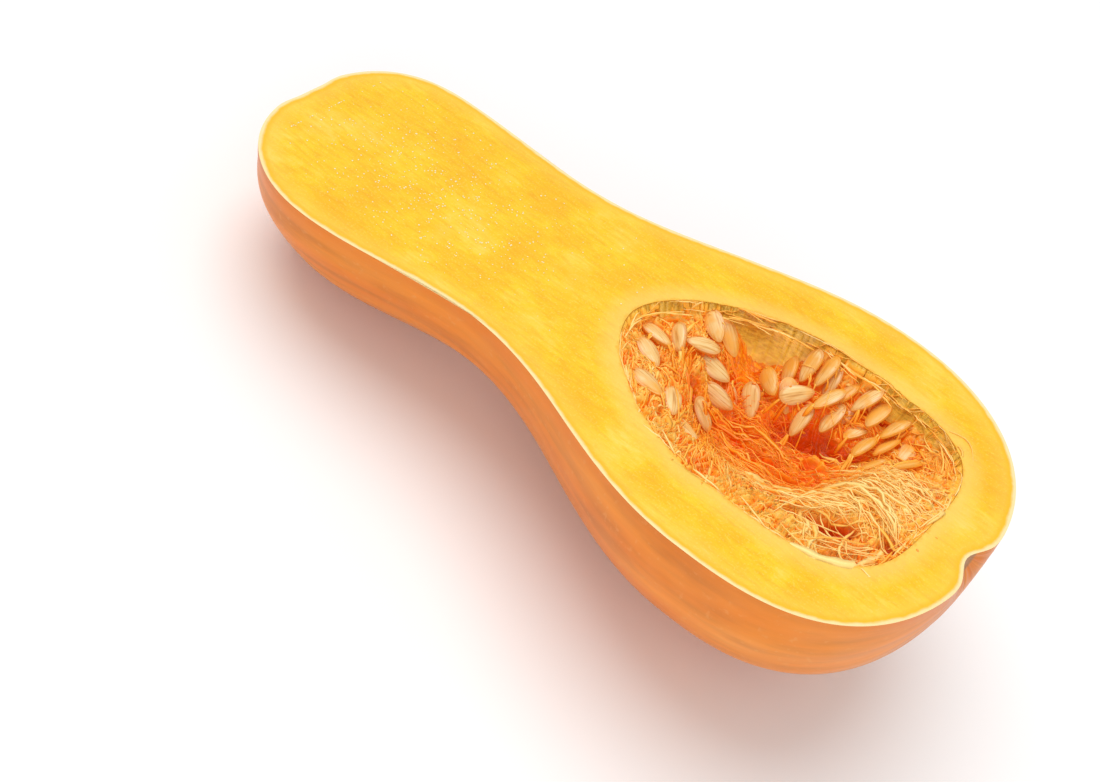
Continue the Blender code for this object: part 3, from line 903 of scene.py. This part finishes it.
for number, name in enumerate(seed_nodes, 1):
    points = np.array([lift_up @ vertex.co for vertex in frame["nodes"][name].data.vertices])
    centre = points.mean(axis=0)
    spread = points - centre
    thin, wide, long = np.linalg.eigh(spread.T @ spread)[1].T
    reach = spread @ long
    middle = centre + long * (reach.max() + reach.min()) / 2
    reach = (points - middle) @ long
    half_length = reach.max()
    widths = np.abs((points - middle) @ wide)
    if widths[reach > half_length * 0.25].max() > widths[reach < -half_length * 0.25].max():
        long = -long
    if thin[2] < 0:
        thin = -thin
    wide = np.cross(thin, long)
    flat_reach = (points - middle) @ thin
    middle = middle + thin * (flat_reach.max() + flat_reach.min()) / 2
    half = Vector((half_length, widths.max() / 1.12, np.ptp(flat_reach) / 2)) * PLUMP
    place = Matrix(np.column_stack([long, wide, thin]).tolist()).to_4x4()
    place.translation = Vector(middle)
    seed_frames.append((place, half))
    taper = random.uniform(0.20, 0.32)
    seed = master_seed.copy()
    seed.data = master_seed.data.copy()
    seed.name = seed.data.name = f"squash_seed_{number:02d}"
    bpy.context.scene.collection.objects.link(seed)
    for vertex in seed.data.vertices:
        x, y, z = vertex.co
        narrow = (1 - taper * x) * (1 - 0.22 * max(0.0, x) ** 6)
        vertex.co = (x * half.x, y * half.y * narrow, z * half.z)
    coated = 0.25 if number <= 13 else 0.5 if number <= 28 else 0.8
    coated = min(1.0, max(0.0, coated + random.uniform(-0.25, 0.25)))
    corners = [vertex.co.copy() for vertex in seed.data.vertices]
    for way, attribute_name in enumerate(("lengthwise", "crosswise", "rise")):
        set_attribute(seed, attribute_name, [corner[way] / half[way] for corner in corners])
    set_attribute(seed, "coated", [coated] * len(corners))
    set_attribute(seed, "tint", [random.random()] * len(corners))
    seed.data.transform(laid_down @ place)
    seed.data.materials.append(seed_finish)
    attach(seed, "root")
    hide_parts(name)
bpy.data.objects.remove(master_seed)

# ---------------------------------------------------------------------------------------
# The fibres. Fine strings of pulp, drawn out and torn: they line the bed, stream from the
# seeds over the slopes, bridge the pits and mat together along the rim of the cavity.


def tube(shape, tones, path, thickness, tone, sides=3, flatness=1.0):
    """Adds one string to a mesh: a tube along a path, thinner at both ends and often flat."""
    rings = []
    lean = random.uniform(-0.7, 0.7)
    count = len(path)
    for index, point in enumerate(path):
        ahead = path[min(index + 1, count - 1)] - path[max(index - 1, 0)]
        ahead = ahead.normalized() if ahead.length > 1e-9 else Vector((1, 0, 0))
        side = ahead.cross(Vector((0, 0, 1)))
        side = side.normalized() if side.length > 1e-4 else Vector((0, 1, 0))
        top = side.cross(ahead)
        side, top = (
            (side * math.cos(lean) + top * math.sin(lean)) * flatness,
            (top * math.cos(lean) - side * math.sin(lean)) / flatness**0.5,
        )
        taper = 0.25 + 0.75 * math.sin(math.pi * (index + 0.5) / count) ** 0.6
        taper *= random.uniform(0.65, 1.3)
        ring = []
        for corner in range(sides):
            angle = 2 * math.pi * corner / sides + math.pi / 2
            offset = (side * math.cos(angle) + top * math.sin(angle)) * thickness * taper
            ring.append(shape.verts.new(point + offset))
            tones.append(tone)
        rings.append(ring)
    for one, two in zip(rings, rings[1:]):
        for corner in range(sides):
            after = (corner + 1) % sides
            shape.faces.new((one[corner], two[corner], two[after], one[after]))
    shape.faces.new(rings[0])
    shape.faces.new(rings[-1][::-1])


def put_in_scene(name, data):
    """A new object in the scene, with a mesh, a light or a camera as its data."""
    made = bpy.data.objects.new(name, data)
    bpy.context.scene.collection.objects.link(made)
    return made


def fibre_piece(name, shape, tones):
    """Turns a mesh of strings into a finished piece of the object."""
    mesh = bpy.data.meshes.new(name)
    shape.to_mesh(mesh)
    shape.free()
    piece = put_in_scene(name, mesh)
    set_attribute(piece, "tone", tones)
    set_attribute(piece, "depth", [-vertex.co.z * 1000 for vertex in mesh.vertices])
    mesh.transform(laid_down)
    mesh.shade_smooth()
    mesh.materials.append(fibre_finish)
    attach(piece, "root")


fibre_finish, tree, shader = finish(
    "pulp_fibres", Roughness=0.36, Coat_Weight=0.15, Coat_Roughness=0.2, Emission_Strength=0.15
)
# The deeper a string lies, the darker and redder it is painted: partly its own colour, partly
# painted shade down in the cavity.
colour = ramp(
    tree,
    arithmetic(tree, "MULTIPLY_ADD", attribute(tree, "depth"), 0.014, attribute(tree, "tone")),
    (0.05, (0.985, 0.74, 0.25)),
    (0.26, (0.98, 0.56, 0.080)),
    (0.52, (0.965, 0.40, 0.018)),
    (0.80, (0.94, 0.25, 0.006)),
    (1.00, (0.86, 0.14, 0.003)),
)
tree.links.new(colour, shader.inputs["Base Color"])
# Painted glow: the strings give off a faint orange light of their own (Emission_Strength above),
# standing in for light that passes through them.
glow = mix(tree, 1.0, colour, (1.0, 0.50, 0.25), "MULTIPLY")
tree.links.new(glow, shader.inputs["Emission Color"])


def inside_cavity(x, y, margin):
    """Whether a place lies within the cavity's rim, by a margin."""
    _spot, _index, distance = cavity_edge.find((x, y, 0))
    share = (x - cavity_widest) / (CAVITY_LENGTH * 0.5)
    reach = CAVITY_RADIUS * math.sqrt(max(0.0, 1 - min(1.0, abs(share)) ** 2.2))
    return distance > margin and abs(y - SWAY[3]) < reach + 0.004 and abs(share) < 1.05


# Short strings that lie on the bed, along its grain
LINING_STRINGS = 300
STEPS = 7
shape, tones = bmesh.new(), []
made = 0
while made < LINING_STRINGS:
    x = random.uniform(CAVITY_START, CAVITY_START + CAVITY_LENGTH)
    y = SWAY[3] + random.uniform(-1, 1) * CAVITY_RADIUS
    if not inside_cavity(x, y, 0.0008):
        continue
    if bed_tree.ray_cast(Vector((x, y, 0.01)), DOWN)[0] is None:
        continue
    if random.random() < bare_at(x, y) * 0.9:
        continue
    made += 1
    stride = random.uniform(0.0004, 0.0013)
    drift = random.uniform(-0.5, 0.5)
    path = []
    for step in range(STEPS):
        run = flow_at(x, y)
        wander = drift + 0.5 * wave(x * 300, y * 300, made)
        turn = (run[0] - run[1] * wander, run[1] + run[0] * wander)
        length = math.hypot(*turn)
        x += turn[0] / length * stride
        y += turn[1] / length * stride
        hump = math.sin(math.pi * step / (STEPS - 1)) * random.uniform(0.0, 0.0006)
        path.append(Vector((x, y, bed_height(x, y) + hump + 0.0001)))
    thick = random.uniform(0.00014, 0.00040)
    tube(shape, tones, path, thick, random.uniform(0.0, 0.75), 4, random.uniform(1.0, 2.2))
fibre_piece("lining_fibres", shape, tones)

# Long strings, in bundles. Each bundle: start and end, place along and across, number,
# spread at the start and at the end, lift in the middle, sideways bow, how far it keeps
# to the bed, half thickness and tone; lengths in millimetres.
BUNDLES = (
    # over the near slope, from the seeds down to the near rim
    ((176, 4), (184, -30), 34, 7, 9, 0.6, 1.5, 0.85, 0.17, 0.15),
    ((180, 6), (196, -32), 30, 6, 8, 0.8, -2.0, 0.80, 0.17, 0.12),
    ((182, 8), (208, -31), 26, 4, 8, 1.0, -3.0, 0.75, 0.18, 0.10),
    ((168, -4), (176, -24), 30, 7, 8, 0.6, 1.0, 0.90, 0.16, 0.20),
    ((158, -6), (166, -18), 26, 8, 8, 0.6, 1.0, 0.90, 0.18, 0.15),
    # along the deep hollow
    ((180, 14), (214, 16), 60, 9, 9, 0.8, 2.0, 0.92, 0.16, 0.25),
    ((178, 18), (206, 24), 40, 8, 7, 0.6, 3.0, 0.95, 0.15, 0.40),
    ((186, 6), (222, 8), 44, 6, 5, 1.0, -2.0, 0.85, 0.18, 0.12),
    # from the hollow's near side to the blossom end: the thick pale mat
    ((196, -10), (236, 2), 44, 7, 5, 1.2, -4.0, 0.85, 0.22, 0.08),
    ((214, 8), (254, 4), 60, 8, 9, 1.6, 2.0, 0.88, 0.24, 0.10),
    ((222, 14), (262, 10), 60, 8, 8, 1.4, 2.0, 0.88, 0.22, 0.12),
    ((206, -16), (246, -4), 46, 6, 5, 1.8, -3.0, 0.70, 0.24, 0.04),
    ((226, 20), (258, 22), 44, 7, 7, 1.0, 1.0, 0.90, 0.20, 0.18),
    ((216, 0), (262, -8), 44, 5, 6, 2.0, 4.0, 0.70, 0.25, 0.06),
    # fraying into the rim at the blossom side
    ((240, 10), (258, 8), 70, 16, 22, 0.3, 1.0, 0.95, 0.20, 0.02),
    # across the nest at the near blossom side
    ((222, -22), (246, -6), 18, 6, 6, 1.5, 3.0, 0.10, 0.24, 0.10),
    ((230, -30), (254, -10), 16, 7, 6, 1.5, -3.0, 0.15, 0.26, 0.12),
    ((238, -34), (244, -8), 16, 7, 8, 1.0, 3.0, 0.15, 0.26, 0.10),
    ((240, -8), (258, -26), 16, 7, 6, 1.0, -4.0, 0.20, 0.24, 0.15),
    ((246, -2), (264, -12), 18, 5, 5, 0.8, 3.0, 0.30, 0.22, 0.15),
    ((224, -14), (238, -30), 14, 5, 7, 1.0, 3.0, 0.25, 0.26, 0.08),
    ((232, -12), (258, -16), 14, 4, 5, 1.0, -5.0, 0.15, 0.28, 0.10),
    # between the seeds at the neck side
    ((150, 12), (166, 6), 30, 9, 8, 0.8, 2.0, 0.85, 0.20, 0.30),
    ((158, 20), (172, 2), 26, 7, 7, 0.8, -2.0, 0.85, 0.22, 0.40),
    ((148, 0), (164, -8), 26, 6, 7, 0.8, 2.0, 0.85, 0.20, 0.18),
    ((164, 24), (180, 20), 20, 7, 6, 0.6, 2.0, 0.90, 0.18, 0.45),
    # under and between the band of seeds
    ((186, 30), (206, 44), 20, 6, 8, 0.5, 2.0, 0.92, 0.17, 0.60),
    ((196, 34), (222, 34), 24, 6, 7, 0.8, 2.0, 0.90, 0.18, 0.55),
    ((206, 44), (232, 40), 26, 7, 8, 0.8, -2.0, 0.90, 0.18, 0.50),
    ((222, 34), (250, 30), 30, 8, 9, 0.8, 2.0, 0.90, 0.20, 0.35),
    ((216, 26), (230, 22), 18, 4, 5, 1.4, 2.0, 0.60, 0.24, 0.15),
    ((236, 46), (254, 34), 24, 6, 7, 0.8, 2.0, 0.90, 0.20, 0.30),
    # fine lines down the bare far wall
    ((168, 38), (182, 34), 10, 7, 8, 0.2, 1.0, 1.00, 0.12, 0.35),
    ((188, 46), (178, 32), 10, 6, 6, 0.4, 2.0, 0.95, 0.13, 0.20),
)


def red_at(spot):
    """How deep in the red pits a place in millimetres lies."""
    return sum(red * math.exp(-off_pit(*spot, *outline)) for *outline, _depth, red in PITS)


shape, tones = bmesh.new(), []
for start, end, number, spread_start, spread_end, lift, bow, cling, thick, tone in BUNDLES:
    for string in range(number):
        slender = string > number * 0.36
        one, two = (
            np.array(middle) + np.array([random.gauss(0, 0.5), random.gauss(0, 0.5)]) * spread
            for middle, spread in ((start, spread_start), (end, spread_end))
        )
        shorten = random.uniform(0.0, 0.35)
        if random.random() < 0.5:
            one = one + (two - one) * shorten
        else:
            two = two + (one - two) * shorten
        run = two - one
        length = math.hypot(*run)
        if length < 1:
            continue
        side = np.array([-run[1], run[0]]) / length
        own_bow = bow + random.gauss(0, 2.2)
        steps = max(6, min(16, int(length / 2.2)))
        own_noise = random.uniform(0, 500)
        waver = random.uniform(0.8, 2.6) * (0.4 if tone > 0.2 else 1.0)
        own_lift = lift * random.uniform(0.3, 1.5)
        ends = []
        places = []
        for step in range(steps + 1):
            share = step / steps
            wobble = waver * wave(share * 4, own_noise, 0)
            spot = one + run * share + side * (own_bow * math.sin(math.pi * share) + wobble)
            places.append(spot / 1000)
            ends.append(bed_height(*(spot / 1000)))
        in_red = sum(red_at(spot * 1000) for spot in places) / len(places)
        if in_red > (0.28 if slender else 0.5) and random.random() < 0.8:
            continue
        if max(spot[0] for spot in places) > 0.262:
            continue
        on_rim = min(cavity_edge.find((*spot, 0))[2] for spot in places) < 0.0006
        if on_rim and start[0] < 240 and random.random() < 0.5:
            continue
        path = []
        for step, (spot, ground) in enumerate(zip(places, ends)):
            share = step / steps
            bridge = ends[0] + (ends[-1] - ends[0]) * share
            bridge -= 0.0006 * math.sin(math.pi * share)
            z = ground * cling + max(bridge, ground) * (1 - cling)
            z += own_lift / 1000 * math.sin(math.pi * share)
            z += 0.0003 * wave(share * 6, own_noise, 7)
            path.append(Vector((spot[0], spot[1], min(z + 0.0001, 0.0004))))
        own_tone = tone + random.gauss(0.05, 0.14) - (0.16 if start[0] >= 206 else 0.0)
        wide = random.uniform(0.6, 1.2) if random.random() < 0.6 else random.uniform(1.2, 2.2)
        if slender:
            wide = random.uniform(0.3, 0.6)
        flatness = random.uniform(1.0, 1.8) if random.random() < 0.7 else random.uniform(2.0, 3.6)
        tube(shape, tones, path, thick / 1000 * wide, own_tone, 4, flatness)
fibre_piece("long_fibres", shape, tones)

# The matted rim: short pale strings round the edge of the cavity
RIM_STRINGS = 150
shape, tones = bmesh.new(), []
for _string in range(RIM_STRINGS):
    turn = random.random()
    inward = random.uniform(0.0, 0.0034)
    slant = random.gauss(0, 0.5)
    stride = random.uniform(0.001, 0.0028) / 0.34
    path = []
    for step in range(STEPS):
        here = (turn + stride * step) % 1.0
        rim = cavity_rim(here)
        middle = (BED_MIDDLE - rim).normalized()
        spot = rim + middle * (inward + slant * step * 0.0006)
        spot += middle * 0.0003 * wave(here * 300, turn * 90, 1)
        ground = bed_height(spot.x, spot.y)
        low = min(0.0, ground) if inward > 0.0006 else -0.0002
        path.append(Vector((spot.x, spot.y, max(low, -0.003) + 0.0002)))
    tube(shape, tones, path, random.uniform(0.00012, 0.00030), random.uniform(0.0, 0.4), 4, 1.5)
fibre_piece("rim_fibres", shape, tones)

# Strings that hold each seed: a few run over it and tie it to the pulp round it
STRINGS_PER_SEED = 6
shape, tones = bmesh.new(), []
for place, half in seed_frames:
    for _string in range(STRINGS_PER_SEED):
        angle = random.uniform(0, 2 * math.pi)
        across = random.uniform(-0.8, 0.8)
        reach = random.uniform(1.1, 1.9)
        over = random.random() < 0.03
        path = []
        for step in range(9):
            share = step / 8 * 2 - 1 if over else step / 8
            x = (math.cos(angle) * share * reach - math.sin(angle) * across * 0.6) * half.x
            y = (math.sin(angle) * share * reach + math.cos(angle) * across * 0.6) * half.y
            edge = (x / half.x) ** 2 + (y / half.y) ** 2
            if not over and edge < 0.75:
                continue
            z = half.z * math.sqrt(max(0.0, 1 - edge * 0.9)) + 0.00015
            point = place @ Vector((x, y, z))
            if edge > 1:
                ground = bed_height(point.x, point.y)
                point.z += (ground + 0.0003 - point.z) * min(1.0, (edge - 1) * 0.8)
            path.append(point)
        if len(path) > 3:
            thick = random.uniform(0.00016, 0.00042)
            tube(shape, tones, path, thick, random.uniform(0.1, 0.55), 4, random.uniform(1.0, 2.5))
fibre_piece("seed_strings", shape, tones)

# ---------------------------------------------------------------------------------------
# Juice. Tiny beads of sap stand on the freshly cut neck and catch the light.
BEADS = 620
shape = bmesh.new()
for _bead in range(BEADS):
    x = min(0.138, max(0.012, random.gauss(0.062, 0.030)))
    y = sway_at(x) + random.gauss(-0.002, 0.017)
    if rind_edge.find((x, y, 0))[2] < 0.006 or abs(y - sway_at(x)) > 0.036:
        continue
    radius = random.uniform(0.00012, 0.00036)
    place = Matrix.Translation((x, y, 0.00005)) @ Matrix.Diagonal((1, 1, 0.6, 1))
    bmesh.ops.create_icosphere(shape, subdivisions=1, radius=radius, matrix=place)
mesh = bpy.data.meshes.new("juice_beads")
shape.to_mesh(mesh)
shape.free()
beads = put_in_scene("juice_beads", mesh)
mesh.transform(laid_down)
mesh.shade_smooth()
SAP = (1.0, 0.93, 0.62, 1)
mesh.materials.append(
    finish("sap", Base_Color=SAP, Roughness=0.06, Coat_Weight=1.0, Coat_Roughness=0.03)[0]
)
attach(beads, "root")

# ---------------------------------------------------------------------------------------
# The studio: a plain pale floor, broad soft lights and the camera.
FLOOR_WIDTH = 12.0
WHITE = (1.0, 1.0, 1.0, 1)
bpy.ops.mesh.primitive_plane_add(size=FLOOR_WIDTH, location=(0, 0, 0))
floor = bpy.context.object
floor.name = "floor"
floor.data.materials.append(finish("floor", Base_Color=WHITE, Roughness=0.85)[0])
floor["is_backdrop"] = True

# The world lights the squash less brightly than it shows behind the floor's edge.
AMBIENT = 0.54
SEEN_BRIGHTER = 0.5
world = bpy.data.worlds.new("studio")
world.use_nodes = True
tree = world.node_tree
background = tree.nodes["Background"]
background.inputs["Color"].default_value = WHITE
seen = wire(tree, "LightPath", {}).outputs["Is Camera Ray"]
glow = arithmetic(tree, "MULTIPLY_ADD", seen, SEEN_BRIGHTER, AMBIENT)
tree.links.new(glow, background.inputs["Strength"])
bpy.context.scene.world = world

sky = bpy.data.lights.new("key", "SUN")
sky.energy = 1.6
sky.angle = math.radians(55)
key = put_in_scene("key", sky)
key.rotation_euler = Vector((-0.42, 0.16, 1.0)).to_track_quat("Z", "Y").to_euler()

LIT_SPOT = Vector((0, 0, 0.03))
softbox = bpy.data.lights.new("fill", "AREA")
softbox.shape = "DISK"
softbox.size = 1.2
softbox.energy = 5
fill = put_in_scene("fill", softbox)
fill.location = (0.75, -1.15, 0.55)
fill.rotation_euler = (LIT_SPOT - fill.location).to_track_quat("-Z", "Y").to_euler()

# The camera looks down the cut face from the near side, turned so that the neck points
# up to the left.
LOOK_AROUND = math.radians(24.46)
LOOK_DOWN = math.radians(42.66)
ROLL = math.radians(19.90)
DISTANCE = 0.55096
TARGET = Vector((0.14815, -0.04617, 0))
right = Vector((math.cos(LOOK_AROUND), math.sin(LOOK_AROUND), 0))
level = math.cos(LOOK_DOWN)
back = Vector((right.y * level, -right.x * level, math.sin(LOOK_DOWN)))
up = back.cross(right)
side = right * math.cos(ROLL) + up * math.sin(ROLL)
top = up * math.cos(ROLL) - right * math.sin(ROLL)
view = Matrix((side, top, back)).transposed().to_4x4()
view.translation = TARGET + back * DISTANCE
lens = bpy.data.cameras.new("camera")
lens.lens = 58.909
lens.sensor_width = 36
lens.clip_start = 0.01
camera = put_in_scene("camera", lens)
camera.matrix_world = laid_down @ view
bpy.context.scene.camera = camera
bpy.context.scene.view_settings.view_transform = "Standard"

low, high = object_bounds()
